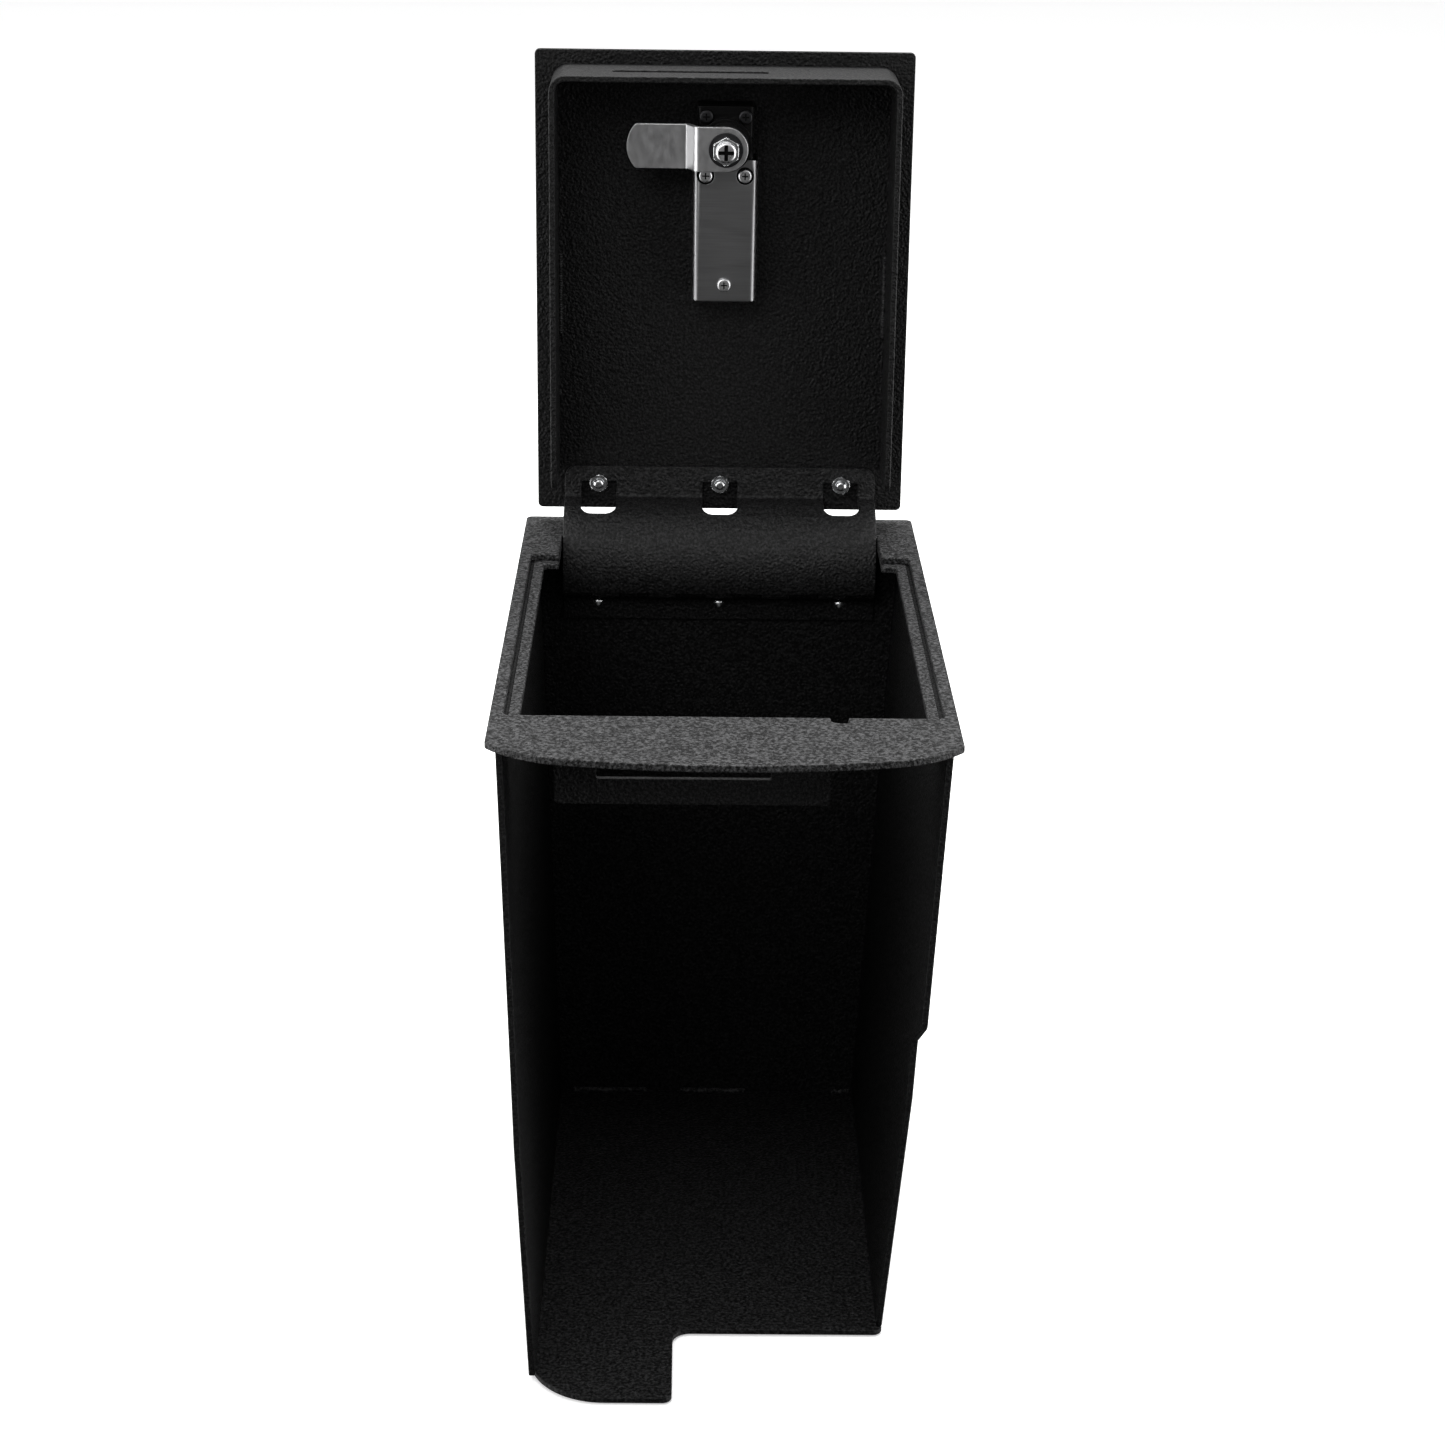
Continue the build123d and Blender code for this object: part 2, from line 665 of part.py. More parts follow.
def make_lock_cover():
    """The stainless cover folded over the housing, closed at its rear end."""
    half = housing_width / 2 + cover_t
    top = lid_top_z - cover_front
    low = housing_low_z - cover_t
    shell = block(lock_x - half, lock_x + half, cover_face_y, lid_face_y, low, top)
    shell = fillet(shell.edges().filter_by(Axis.Z).group_by(Axis.Y)[0], cover_edge_r)
    end = shell.edges().group_by(Axis.Z)[0].filter_by(Axis.X).group_by(Axis.Y)[0]
    shell = fillet(end, cover_t)
    half -= cover_t
    inside = block(lock_x - half, lock_x + half, housing_face_y, lid_face_y + 1, housing_low_z,
                   top + 1)
    inside = fillet(inside.edges().filter_by(Axis.Z).group_by(Axis.Y)[0],
                    cover_edge_r - cover_t)
    shell -= inside
    shell -= rod_y(cover_face_y - 1, lid_face_y, lock_x, spindle_z, boss_r)
    for x, z in clamp_points():
        shell -= rod_y(cover_face_y - 1, lid_face_y, x, z, cover_hole_r)
    x, z = cover_point()
    return shell - rod_y(cover_face_y - 1, lid_face_y, x, z, screw_r)


def make_clamp_screws():
    """Bright screws through the housing and lid into the escutcheon."""
    tip_y = lid_outer_y + escutcheon_h / 2
    return Compound([pan_screw(x, z, housing_face_y, tip_y) for x, z in clamp_points()])


def make_black_screws():
    """Blackened screws in the housing's front end."""
    tip_y = housing_face_y + black_screw_length
    return Compound([pan_screw(x, z, housing_face_y, tip_y) for x, z in black_points()])


def make_cover_screw():
    """The screw that holds the cover's rear end."""
    x, z = cover_point()
    return pan_screw(x, z, cover_face_y, housing_face_y + black_screw_length)


def make_cam_arm():
    """The cam: a round hub on the spindle, a steep joggle towards the lid, a round-ended tongue."""
    bend_r = cam_t * 0.8
    turn = radians(cam_joggle_angle)
    slope = (cam_joggle - 2 * bend_r * (1 - cos(turn))) / sin(turn)
    hub_r = cam_width / 2
    moves = [("line", hub_r + cam_shoulder), ("arc", bend_r, -cam_joggle_angle),
             ("line", slope), ("arc", bend_r, cam_joggle_angle), ("line", cam_reach)]
    profile = bent_strip((lock_x + hub_r, hub_y), 180, moves, cam_t)
    strip = solid_xy(profile, spindle_z - hub_r, spindle_z + hub_r)
    y0, y1 = hub_y - cam_width, hub_y + cam_width
    tip_x = lock_x - cam_reach + cam_tip_r
    room = rod_y(y0, y1, tip_x, spindle_z, cam_tip_r)
    room += rod_y(y0, y1, lock_x, spindle_z, hub_r)
    room += block(tip_x, lock_x, y0, y1, spindle_z - hub_r, spindle_z + hub_r)
    cam = strip & room
    ends = cam.edges().filter_by(Axis.Y).group_by(Axis.X)[0]
    cam = fillet(ends, cam_corner_r)
    half = spindle_square / 2
    return cam - block(lock_x - half, lock_x + half, hub_y - cam_t, hub_y + cam_t,
                       spindle_z - half, spindle_z + half)


def make_cam_washer():
    y0 = hub_front_y - washer_t
    ring = rod_y(y0, hub_front_y, lock_x, spindle_z, washer_r)
    return ring - rod_y(y0 - 1, hub_front_y + 1, lock_x, spindle_z, cam_screw_shank_r)


def make_cam_nut():
    """The hexagon collar between the washer and the screw's head."""
    y1 = hub_front_y - washer_t
    y0 = y1 - cam_nut_h
    hexagon = Pos(lock_x, spindle_z) * RegularPolygon(cam_nut_af / 2, 6, False, rotation=30)
    cone = rod_y(y0, y1, lock_x, spindle_z, cam_nut_af / 2 * 1.15)
    cone = chamfer(cone.edges().group_by(Axis.Y)[0], 0.6)
    nut = solid_xz(hexagon, y0, y1) & cone
    return nut - rod_y(y0 - 1, y1 + 1, lock_x, spindle_z, cam_screw_shank_r)


def make_cam_screw():
    seat_y = hub_front_y - washer_t - cam_nut_h
    return pan_screw(lock_x, spindle_z, seat_y, seat_y + cam_screw_length, cam_screw_r,
                     cam_screw_h, cam_screw_shank_r)


def make_lock_spindle():
    """The spindle from the cam to the knob, squared where the cam sits."""
    half = spindle_square / 2
    spindle = rod_y(hub_rear_y, knob_y + knob_socket, lock_x, spindle_z, spindle_r)
    spindle += block(lock_x - half, lock_x + half, hub_front_y, hub_rear_y + 1,
                     spindle_z - half, spindle_z + half)
    seat_y = hub_front_y - washer_t - cam_nut_h
    return spindle - rod_y(seat_y, seat_y + cam_screw_length, lock_x, spindle_z,
                           cam_screw_shank_r)


# ---------------------------------------------------------------- lock, outer side
def make_escutcheon():
    """The block on the lid's outer face that carries the knob and the dial wheels."""
    half = escutcheon_width / 2
    low, high = housing_low_z - escutcheon_end, housing_top_z + escutcheon_end
    body = block(lock_x - half, lock_x + half, lid_outer_y, escutcheon_face_y, low, high)
    body = fillet(body.edges().filter_by(Axis.Y), 3 * escutcheon_edge_r)
    body = fillet(body.edges().group_by(Axis.Y)[-1], escutcheon_edge_r)
    body -= rod_y(lid_outer_y - 1, escutcheon_face_y + 1, lock_x, spindle_z,
                  spindle_r + running)
    for x, z in clamp_points():
        body -= rod_y(lid_outer_y - 1, lid_outer_y + escutcheon_h / 2, x, z, screw_r)
    for z in wheel_zs:
        half_slot = wheel_width / 2 + move_gap
        body -= rod_z(z - half_slot, z + half_slot, lock_x, wheel_y, wheel_r + move_gap)
    z0, z1 = axle_ends()
    return body - rod_z(z0, z1, lock_x, wheel_y, axle_r)


def axle_ends():
    """The two ends of the dial wheels' axle."""
    return wheel_zs[-1] - wheel_pitch * 0.75, wheel_zs[0] + wheel_pitch * 0.75


def make_dial_axle():
    return rod_z(*axle_ends(), lock_x, wheel_y, axle_r)


def make_dial_wheel(z):
    """One dial wheel, with ten shallow grooves between its numbers."""
    z0, z1 = z - wheel_width / 2, z + wheel_width / 2
    wheel = rod_z(z0, z1, lock_x, wheel_y, wheel_r)
    wheel = chamfer(wheel.edges(), 0.4)
    for i in range(10):
        angle = 2 * pi * (i + 0.5) / 10
        x, y = lock_x + wheel_r * sin(angle), wheel_y + wheel_r * cos(angle)
        wheel -= rod_z(z0 - 1, z1 + 1, x, y, wheel_groove_r)
    return wheel - rod_z(z0 - 1, z1 + 1, lock_x, wheel_y, axle_r + running)


def make_knob():
    """The knob: a round base and a grip bar, bored for the key plug."""
    base = rod_y(knob_y, knob_y + knob_base_h, lock_x, spindle_z, knob_r)
    base = fillet(base.edges().group_by(Axis.Y)[-1], 1.0)
    half = knob_grip_w / 2
    bar = block(lock_x - knob_r, lock_x + knob_r, knob_y + 1, knob_face_y, spindle_z - half,
                spindle_z + half)
    bar &= rod_y(knob_y, knob_face_y, lock_x, spindle_z, knob_r - 0.6)
    bar = fillet(bar.edges().group_by(Axis.Y)[-1], 1.2)
    knob = base + bar
    knob -= rod_y(knob_y - 1, knob_y + knob_socket, lock_x, spindle_z, spindle_r)
    return knob - rod_y(knob_face_y - key_plug_l - 0.5, knob_face_y + 1, lock_x, spindle_z,
                        key_plug_r + running)


def make_key_plug():
    """The key plug in the knob, with its keyway."""
    plug = rod_y(knob_face_y - key_plug_l, knob_face_y - 0.2, lock_x, spindle_z, key_plug_r)
    return plug - block(lock_x - keyway_w / 2, lock_x + keyway_w / 2, knob_face_y - keyway_d,
                        knob_face_y + 1, spindle_z - keyway_l / 2, spindle_z + keyway_l / 2)


# ---------------------------------------------------------------- parts
save("top_plate", make_top_plate())
save("ledge_plate", make_ledge_plate())
save("left_wall", make_left_wall())
save("right_wall", make_right_wall())
save("back_wall", make_back_wall())
save("floor_plate", make_floor_plate())
save("strike_plate", make_strike_plate())
save("floor_welds", make_floor_welds())
save("hinge_body_leaf", make_hinge_body_leaf())
save("hinge_rivets", make_hinge_rivets())
save("hinge_pin", make_hinge_pin())
save("gooseneck_flap", make_gooseneck())
save("lid_plate", make_lid_plate())
save("lid_flange", make_lid_flange())
save("lid_welds", make_lid_welds())
save("lid_studs", make_lid_studs())
save("lid_nuts", make_lid_nuts())
save("lock_housing", make_lock_housing())
save("lock_cover", make_lock_cover())
save("lock_clamp_screws", make_clamp_screws())
save("lock_black_screws", make_black_screws())
save("lock_cover_screw", make_cover_screw())
save("cam_arm", make_cam_arm())
save("cam_washer", make_cam_washer())
save("cam_nut", make_cam_nut())
save("cam_screw", make_cam_screw())
save("lock_spindle", make_lock_spindle())
save("lock_escutcheon", make_escutcheon())
save("lock_knob", make_knob())
save("key_plug", make_key_plug())
save("dial_axle", make_dial_axle())
for number, height in enumerate(wheel_zs, start=1):
    save(f"dial_wheel_{number}", make_dial_wheel(height))
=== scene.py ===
import json
import bpy
import bmesh
from math import radians
from mathutils import Matrix, Vector

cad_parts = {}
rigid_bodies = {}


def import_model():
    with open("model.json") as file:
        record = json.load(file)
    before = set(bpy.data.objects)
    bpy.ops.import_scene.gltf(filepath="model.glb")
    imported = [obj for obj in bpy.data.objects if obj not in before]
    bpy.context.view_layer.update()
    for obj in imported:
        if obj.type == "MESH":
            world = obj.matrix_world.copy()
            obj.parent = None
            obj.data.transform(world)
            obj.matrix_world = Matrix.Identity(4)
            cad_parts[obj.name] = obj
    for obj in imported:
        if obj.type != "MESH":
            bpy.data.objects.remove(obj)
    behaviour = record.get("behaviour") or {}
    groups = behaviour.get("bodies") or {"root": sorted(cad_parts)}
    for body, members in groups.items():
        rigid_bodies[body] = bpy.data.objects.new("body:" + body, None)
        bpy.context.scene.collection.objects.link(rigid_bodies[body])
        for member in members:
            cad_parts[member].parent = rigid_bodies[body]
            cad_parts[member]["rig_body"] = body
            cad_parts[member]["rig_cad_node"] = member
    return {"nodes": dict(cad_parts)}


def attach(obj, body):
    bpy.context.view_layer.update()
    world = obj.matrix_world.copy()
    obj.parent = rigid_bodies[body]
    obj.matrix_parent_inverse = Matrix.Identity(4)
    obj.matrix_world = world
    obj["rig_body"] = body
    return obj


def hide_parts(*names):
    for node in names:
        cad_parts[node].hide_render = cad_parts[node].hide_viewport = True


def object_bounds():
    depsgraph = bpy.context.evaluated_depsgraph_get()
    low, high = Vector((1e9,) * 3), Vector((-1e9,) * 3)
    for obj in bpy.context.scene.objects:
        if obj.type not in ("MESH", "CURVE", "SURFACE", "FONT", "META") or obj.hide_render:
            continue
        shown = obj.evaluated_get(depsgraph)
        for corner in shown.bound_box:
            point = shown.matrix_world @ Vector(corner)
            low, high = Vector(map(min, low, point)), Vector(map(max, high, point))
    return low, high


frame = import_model()
cad_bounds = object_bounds()


# ------------------------------------------------------------ camera
# A camera on a stand, a little over a metre in front of the safe and above its open lid,
# tipped down twenty degrees so that it looks into the mouth of the box.
camera = bpy.data.objects.new("camera", bpy.data.cameras.new("camera"))
bpy.context.scene.collection.objects.link(camera)
camera.data.sensor_width = 36.0
camera.data.lens = 36.0 * 3004.08 / 1445
camera.data.clip_start = 0.05
camera.data.clip_end = 60.0
turned = Matrix.Rotation(radians(-0.73), 4, "Z")
tipped = Matrix.Rotation(radians(90 - 20.09), 4, "X")
rolled = Matrix.Rotation(radians(0.79), 4, "Z")
camera.matrix_world = Matrix.Translation((-0.0148, -1.2288, 0.7023)) @ turned @ tipped @ rolled
bpy.context.scene.camera = camera
bpy.context.scene.view_settings.view_transform = "Standard"


# ------------------------------------------------------------ studio
# A white sweep under the safe, lit from a wide softbox overhead and behind, inside a room that
# is bright above and dim low down. Polished metal also sees a bright wall at each side.
bpy.ops.mesh.primitive_plane_add(size=30, location=(0, 0, cad_bounds[0][2] - 0.0005))
sweep = bpy.context.active_object
sweep.name = "studio_floor"
paper = bpy.data.materials.new("white_sweep")
paper.use_nodes = True
paper_nodes = paper.node_tree.nodes
paper_shader = paper_nodes["Principled BSDF"]
paper_shader.inputs["Base Color"].default_value = (0.93, 0.93, 0.93, 1)
paper_shader.inputs["Roughness"].default_value = 0.9
paper_shader.inputs["Specular IOR Level"].default_value = 0.1
paper_shader.inputs["Emission Color"].default_value = (1, 1, 1, 1)
paper_shader.inputs["Emission Strength"].default_value = 0.35
sweep.data.materials.append(paper)
sweep.visible_glossy = False
sweep.visible_diffuse = False

room = bpy.data.worlds.new("studio_room")
bpy.context.scene.world = room
room.use_nodes = True
room_nodes, room_links = room.node_tree.nodes, room.node_tree.links
room_nodes.clear()
direction = room_nodes.new("ShaderNodeTexCoord")
parts_of = room_nodes.new("ShaderNodeSeparateXYZ")
height_ramp = room_nodes.new("ShaderNodeValToRGB")
height_ramp.color_ramp.elements[0].position = 0.0
height_ramp.color_ramp.elements[0].color = (0.10, 0.10, 0.10, 1)
height_ramp.color_ramp.elements[1].position = 0.75
height_ramp.color_ramp.elements[1].color = (0.75, 0.75, 0.75, 1)
seen = room_nodes.new("ShaderNodeLightPath")
pick = room_nodes.new("ShaderNodeMix")
pick.data_type = "RGBA"
pick.inputs["B"].default_value = (1, 1, 1, 1)
glow = room_nodes.new("ShaderNodeBackground")
room_out = room_nodes.new("ShaderNodeOutputWorld")
sides = room_nodes.new("ShaderNodeMath")
sides.operation = "ABSOLUTE"
side_band = room_nodes.new("ShaderNodeMapRange")
side_band.inputs["From Min"].default_value = 0.55
side_band.inputs["From Max"].default_value = 0.90
side_band.inputs["To Max"].default_value = 3.2
side_gloss = room_nodes.new("ShaderNodeMath")
side_gloss.operation = "MULTIPLY"
side_sum = room_nodes.new("ShaderNodeMix")
side_sum.data_type = "RGBA"
side_sum.blend_type = "ADD"
side_sum.inputs["Factor"].default_value = 1.0
room_links.new(direction.outputs["Generated"], parts_of.inputs[0])
room_links.new(parts_of.outputs["X"], sides.inputs[0])
room_links.new(sides.outputs[0], side_band.inputs["Value"])
room_links.new(side_band.outputs["Result"], side_gloss.inputs[0])
room_links.new(seen.outputs["Is Glossy Ray"], side_gloss.inputs[1])
room_links.new(height_ramp.outputs["Color"], side_sum.inputs["A"])
room_links.new(side_gloss.outputs[0], side_sum.inputs["B"])
room_links.new(parts_of.outputs["Z"], height_ramp.inputs["Fac"])
room_links.new(side_sum.outputs["Result"], pick.inputs["A"])
room_links.new(seen.outputs["Is Camera Ray"], pick.inputs["Factor"])
room_links.new(pick.outputs["Result"], glow.inputs["Color"])
room_links.new(glow.outputs["Background"], room_out.inputs["Surface"])


def softbox(name, place, target, width, height, watts):
    """A rectangular area lamp that faces a point."""
    lamp = bpy.data.lights.new(name, "AREA")
    lamp.shape = "RECTANGLE"
    lamp.size, lamp.size_y = width, height
    lamp.energy = watts
    holder = bpy.data.objects.new(name, lamp)
    bpy.context.scene.collection.objects.link(holder)
    aim = (Vector(target) - Vector(place)).to_track_quat("-Z", "Y")
    holder.matrix_world = Matrix.Translation(place) @ aim.to_matrix().to_4x4()
    return holder


softbox("overhead_softbox", (0.0, 0.9, 2.4), (0, 0, 0.3), 2.4, 1.8, 90)
softbox("front_softbox", (-1.2, -2.6, 2.2), (0, 0, 0.3), 1.6, 1.2, 25)
softbox("left_strip", (-2.2, -0.5, 0.8), (0, 0.1, 0.35), 0.5, 1.8, 9)
softbox("right_strip", (2.2, -0.3, 0.8), (0, 0.1, 0.35), 0.5, 1.8, 7)


# ------------------------------------------------------------ top plate
# The bowed plate that the whole box hangs from: 3 mm steel, laser-cut with the lid recess, the
# gooseneck's gateway and a cable notch, then textured-powder coated with the rest.
def powder_coat(name, grain=760, depth=0.0012, gloss=0.44, dark=0.002, light=0.085, shine=0.14):
    """Black textured powder: a fine leathery grain with a dull sheen on its crests."""
    coat = bpy.data.materials.new(name)
    coat.use_nodes = True
    nodes, links = coat.node_tree.nodes, coat.node_tree.links
    shader = nodes["Principled BSDF"]
    shader.inputs["Specular IOR Level"].default_value = shine
    place = nodes.new("ShaderNodeTexCoord")
    pebbles = nodes.new("ShaderNodeTexVoronoi")
    pebbles.feature = "SMOOTH_F1"
    pebbles.inputs["Scale"].default_value = grain
    pebbles.inputs["Smoothness"].default_value = 0.9
    cloud = nodes.new("ShaderNodeTexNoise")
    cloud.inputs["Scale"].default_value = grain
    cloud.inputs["Detail"].default_value = 3.0
    cloud.inputs["Roughness"].default_value = 0.65
    blend = nodes.new("ShaderNodeMix")
    blend.data_type = "FLOAT"
    blend.inputs["Factor"].default_value = 0.55
    bump = nodes.new("ShaderNodeBump")
    bump.inputs["Strength"].default_value = 1.0
    bump.inputs["Distance"].default_value = depth
    links.new(place.outputs["Object"], pebbles.inputs["Vector"])
    links.new(place.outputs["Object"], cloud.inputs["Vector"])
    links.new(pebbles.outputs["Distance"], blend.inputs["A"])
    links.new(cloud.outputs["Fac"], blend.inputs["B"])
    links.new(blend.outputs["Result"], bump.inputs["Height"])
    links.new(bump.outputs["Normal"], shader.inputs["Normal"])
    shade = nodes.new("ShaderNodeValToRGB")
    shade.color_ramp.elements[0].position = 0.44
    shade.color_ramp.elements[0].color = (dark, dark, dark * 1.02, 1)
    shade.color_ramp.elements[1].position = 0.63
    shade.color_ramp.elements[1].color = (light, light, light * 1.02, 1)
    links.new(cloud.outputs["Fac"], shade.inputs["Fac"])
    links.new(shade.outputs["Color"], shader.inputs["Base Color"])
    sheen = nodes.new("ShaderNodeMapRange")
    sheen.inputs["From Min"].default_value = 0.3
    sheen.inputs["From Max"].default_value = 0.7
    sheen.inputs["To Min"].default_value = gloss + 0.12
    sheen.inputs["To Max"].default_value = gloss - 0.08
    links.new(cloud.outputs["Fac"], sheen.inputs["Value"])
    links.new(sheen.outputs["Result"], shader.inputs["Roughness"])
    return coat


def finished(node, body, coat, edge=0.0006, segments=3):
    """The drawn piece as it comes from its finisher, its sharp edges eased."""
    bpy.ops.object.select_all(action="DESELECT")
    piece = frame["nodes"][node].copy()
    piece.data = frame["nodes"][node].data.copy()
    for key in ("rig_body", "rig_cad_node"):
        if key in piece:
            del piece[key]
    piece.parent = None
    piece.name = node + "_finished"
    piece.data.materials.clear()
    piece.data.materials.append(coat)
    bpy.context.scene.collection.objects.link(piece)
    piece.select_set(True)
    bpy.context.view_layer.objects.active = piece
    bpy.ops.object.mode_set(mode="EDIT")
    bpy.ops.mesh.select_all(action="SELECT")
    bpy.ops.mesh.remove_doubles(threshold=0.00001)
    bpy.ops.mesh.dissolve_limited(angle_limit=radians(0.6))
    bpy.ops.object.mode_set(mode="OBJECT")
    rounding = piece.modifiers.new("rounded_edges", "BEVEL")
    rounding.width = edge
    rounding.segments = segments
    rounding.limit_method = "ANGLE"
    rounding.angle_limit = radians(35)
    rounding.use_clamp_overlap = False
    rounding.harden_normals = True
    bpy.ops.object.shade_smooth_by_angle(angle=radians(35))
    bpy.ops.object.modifier_apply(modifier="rounded_edges")
    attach(piece, body)
    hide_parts(node)
    return piece


body_coat = powder_coat("powder_coat_body")
finished("top_plate", "box", body_coat)


# ------------------------------------------------------------ ledge plate
# The second frame welded under the top plate; its inner edge shows in the recess as a step
# for the shut lid. Laser-cut 12-gauge steel.
finished("ledge_plate", "box", body_coat)


# ------------------------------------------------------------ walls
# Two leaning side walls and the back wall between them, 12-gauge sheet, welded along the
# outside and stitch-welded within.
# The walls' coat is the box's powder made darker: painted shade inside the box.
walls_coat_painted_shade = powder_coat("powder_coat_walls_painted_shade", grain=800, dark=0.002, light=0.014, shine=0.10)
finished("left_wall", "box", walls_coat_painted_shade)
finished("right_wall", "box", walls_coat_painted_shade)
finished("back_wall", "box", walls_coat_painted_shade, edge=0.0002)


# ------------------------------------------------------------ floor plate
# The floor, with its tongue at the left. Its upper face catches more of the light, so the
# grain's crests show as fine specks.
# The floor's coat is the box's powder made darker: painted shade at the bottom of the box.
floor_coat_painted_shade = powder_coat("powder_coat_floor_painted_shade", grain=700, dark=0.001, light=0.022, shine=0.07)
finished("floor_plate", "box", floor_coat_painted_shade)


# ------------------------------------------------------------ floor welds
# Three short stitch welds along the joint of the floor and the back wall: MIG beads, each a
# row of overlapping puddles, coated over with the box.
def weld_bead(name, body, joint, ends, leg, along_z=False):
    """A row of overlapping puddles between two ends of an inside joint."""
    pitch, radius, squash, start = leg * 0.62, leg * 0.78, 0.8, leg * 0.6
    count = max(2, int((ends[1] - ends[0]) / pitch))
    bpy.ops.object.select_all(action="DESELECT")
    bpy.ops.mesh.primitive_uv_sphere_add(segments=14, ring_count=8, radius=radius)
    first = bpy.context.active_object
    bpy.ops.object.mode_set(mode="EDIT")
    bpy.ops.mesh.select_all(action="SELECT")
    bpy.ops.transform.resize(value=(1, 1, squash) if along_z else (squash, 1, 1))
    bpy.ops.object.mode_set(mode="OBJECT")
    puddles = [first]
    for i in range(1, count):
        puddle = first.copy()
        puddle.data = first.data.copy()
        bpy.context.scene.collection.objects.link(puddle)
        puddles.append(puddle)
    for i, puddle in enumerate(puddles):
        at = ends[0] + start + (ends[1] - ends[0] - 2 * start) * i / (count - 1)
        puddle.location = (joint[0], joint[1], at) if along_z else (at, joint[1], joint[2])
        puddle.select_set(True)
    bpy.context.view_layer.objects.active = first
    bpy.ops.object.join()
    bead = bpy.context.active_object
    bpy.ops.object.transform_apply(location=True, rotation=True, scale=True)
    bead.name = name
    bead.data.materials.append(weld_coat)
    bpy.ops.object.shade_smooth()
    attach(bead, body)
    return bead


def islands(node):
    """The extents of each separate lump of a drawn piece, lowest X first."""
    shape = bmesh.new()
    shape.from_mesh(frame["nodes"][node].data)
    bmesh.ops.remove_doubles(shape, verts=shape.verts, dist=0.00001)
    left, lumps = set(shape.verts), []
    while left:
        queue, lump = [left.pop()], []
        while queue:
            vert = queue.pop()
            lump.append(vert.co.copy())
            for edge in vert.link_edges:
                other = edge.other_vert(vert)
                if other in left:
                    left.remove(other)
                    queue.append(other)
        low = [min(co[k] for co in lump) for k in range(3)]
        high = [max(co[k] for co in lump) for k in range(3)]
        lumps.append((low, high))
    shape.free()
    return sorted(lumps)


weld_coat = powder_coat("powder_coat_welds", grain=700, depth=0.0003, gloss=0.34, light=0.05)
into_joint = 0.0004
off_plate = 0.0003
for i, (low, high) in enumerate(islands("floor_welds")):
    corner = (0, high[1] - into_joint, low[2] + off_plate)
    name = "floor_weld_%d" % (i + 1)
    bead = weld_bead(name, "box", corner, (low[0], high[0]), high[1] - low[1])
    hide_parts("floor_welds")


# ------------------------------------------------------------ strike plate
# A tab of the same sheet hanging under the front of the ledge, slotted for the cam.
# Its coat is the box's powder made darker: painted shade under the ledge.
strike_coat_painted_shade = powder_coat("powder_coat_strike_painted_shade", grain=800, dark=0.004, light=0.028, shine=0.12)
finished("strike_plate", "box", strike_coat_painted_shade, edge=0.0002)


# ------------------------------------------------------------ hinge leaf
# The fixed leaf of the piano hinge, riveted to the back wall and coated with it.
# The leaf shares the walls' darker coat: painted shade inside the box.
finished("hinge_body_leaf", "box", walls_coat_painted_shade, edge=0.0002)


# ------------------------------------------------------------ hinge rivets and pin
# Three zinc-plated blind rivets hold the leaf to the back wall, and a drawn steel rod runs
# through all the knuckles.
def metal(name, tone, rough, wear=0.05, streak=(1, 1, 1), scale=900, dent=0.0):
    """Bare or plated metal, its gloss broken up by a fine pattern that can run one way."""
    plating = bpy.data.materials.new(name)
    plating.use_nodes = True
    nodes, links = plating.node_tree.nodes, plating.node_tree.links
    shader = nodes["Principled BSDF"]
    shader.inputs["Metallic"].default_value = 1.0
    place = nodes.new("ShaderNodeTexCoord")
    stretch = nodes.new("ShaderNodeMapping")
    stretch.inputs["Scale"].default_value = streak
    grain = nodes.new("ShaderNodeTexNoise")
    grain.inputs["Scale"].default_value = scale
    grain.inputs["Detail"].default_value = 4.0
    rub = nodes.new("ShaderNodeMapRange")
    rub.inputs["From Min"].default_value = 0.3
    rub.inputs["From Max"].default_value = 0.7
    rub.inputs["To Min"].default_value = rough - wear
    rub.inputs["To Max"].default_value = rough + wear
    shade = nodes.new("ShaderNodeValToRGB")
    shade.color_ramp.elements[0].position = 0.3
    shade.color_ramp.elements[0].color = (tone[0] * 0.86, tone[1] * 0.86, tone[2] * 0.86, 1)
    shade.color_ramp.elements[1].position = 0.7
    shade.color_ramp.elements[1].color = (tone[0], tone[1], tone[2], 1)
    links.new(place.outputs["Object"], stretch.inputs["Vector"])
    links.new(stretch.outputs["Vector"], grain.inputs["Vector"])
    links.new(grain.outputs["Fac"], rub.inputs["Value"])
    links.new(rub.outputs["Result"], shader.inputs["Roughness"])
    links.new(grain.outputs["Fac"], shade.inputs["Fac"])
    links.new(shade.outputs["Color"], shader.inputs["Base Color"])
    if dent:
        bump = nodes.new("ShaderNodeBump")
        bump.inputs["Distance"].default_value = dent
        links.new(grain.outputs["Fac"], bump.inputs["Height"])
        links.new(bump.outputs["Normal"], shader.inputs["Normal"])
    return plating


zinc = metal("zinc_plating", (0.74, 0.75, 0.76), 0.24)
finished("hinge_rivets", "box", zinc, edge=0.0002, segments=2)
finished("hinge_pin", "box", zinc, edge=0.0002, segments=2)


# ------------------------------------------------------------ gooseneck
# The curved neck between the hinge and the lid: 2 mm sheet rolled round, with three nut slots,
# coated like the box but a little finer in grain.
# Its tone is darker than the top plate's: painted shade under the lid.
neck_coat_painted_shade = powder_coat("powder_coat_neck_painted_shade", grain=800, dark=0.004, light=0.032, shine=0.24)
finished("gooseneck_flap", "lid", neck_coat_painted_shade, edge=0.0004)


